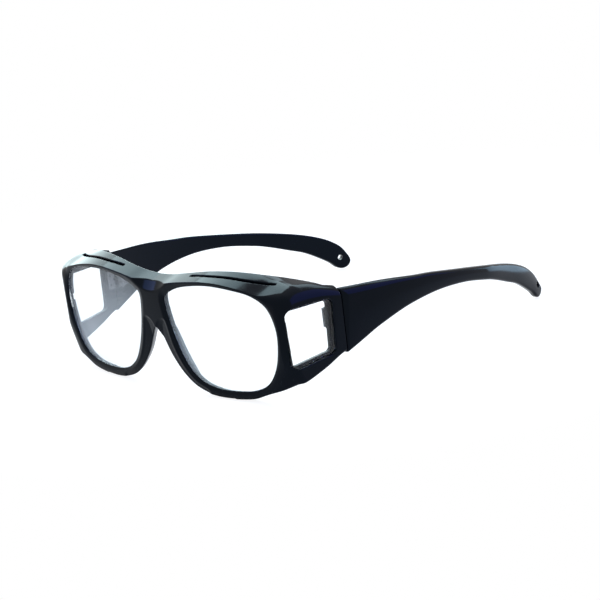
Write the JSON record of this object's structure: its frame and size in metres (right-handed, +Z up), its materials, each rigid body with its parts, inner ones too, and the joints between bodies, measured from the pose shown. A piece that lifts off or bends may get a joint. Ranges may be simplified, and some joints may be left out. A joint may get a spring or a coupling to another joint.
{
  "type": "wraparound eye shield glasses",
  "caption": "Wraparound over-glasses with clear curved lenses, slotted brow, side windows, moulded nose bearing and broad folding temples with lanyard holes.",
  "frame": {"origin": "middle of the footprint at table height, with the temples open", "axes": "+Z up, the front faces -Y, the temples run towards +Y, +X is the wearer's left"},
  "size_m": [0.1556, 0.1686, 0.0509],
  "materials": {
    "frame": "glossy black moulded plastic with a faint navy cast",
    "lens": "clear polished polycarbonate",
    "hinge_metal": "nickel-plated, satin"
  },
  "bodies": {
    "front": {"front_frame": "frame", "lens_left": "lens", "lens_right": "lens", "side_lens_left": "lens", "side_lens_right": "lens", "front_hinge_leaf_left": "hinge_metal", "front_hinge_leaf_right": "hinge_metal", "hinge_screw_left": "hinge_metal", "hinge_screw_right": "hinge_metal", "front_leaf_screws_left": "hinge_metal", "front_leaf_screws_right": "hinge_metal"},
    "temple_left": {"temple_left": "frame", "temple_hinge_leaf_left": "hinge_metal", "temple_leaf_screws_left": "hinge_metal"},
    "temple_right": {"temple_right": "frame", "temple_hinge_leaf_right": "hinge_metal", "temple_leaf_screws_right": "hinge_metal"}
  },
  "joints": [
    {"name": "temple_left_fold", "type": "hinge", "parent": "front", "child": "temple_left", "pos_m": [0.0657, -0.04716, 0.0295], "axis": [0, 0, 1], "range_deg": [0, 95]},
    {"name": "temple_right_fold", "type": "hinge", "parent": "front", "child": "temple_right", "pos_m": [-0.0657, -0.04716, 0.0295], "axis": [0, 0, -1], "range_deg": [0, 85]}
  ]
}
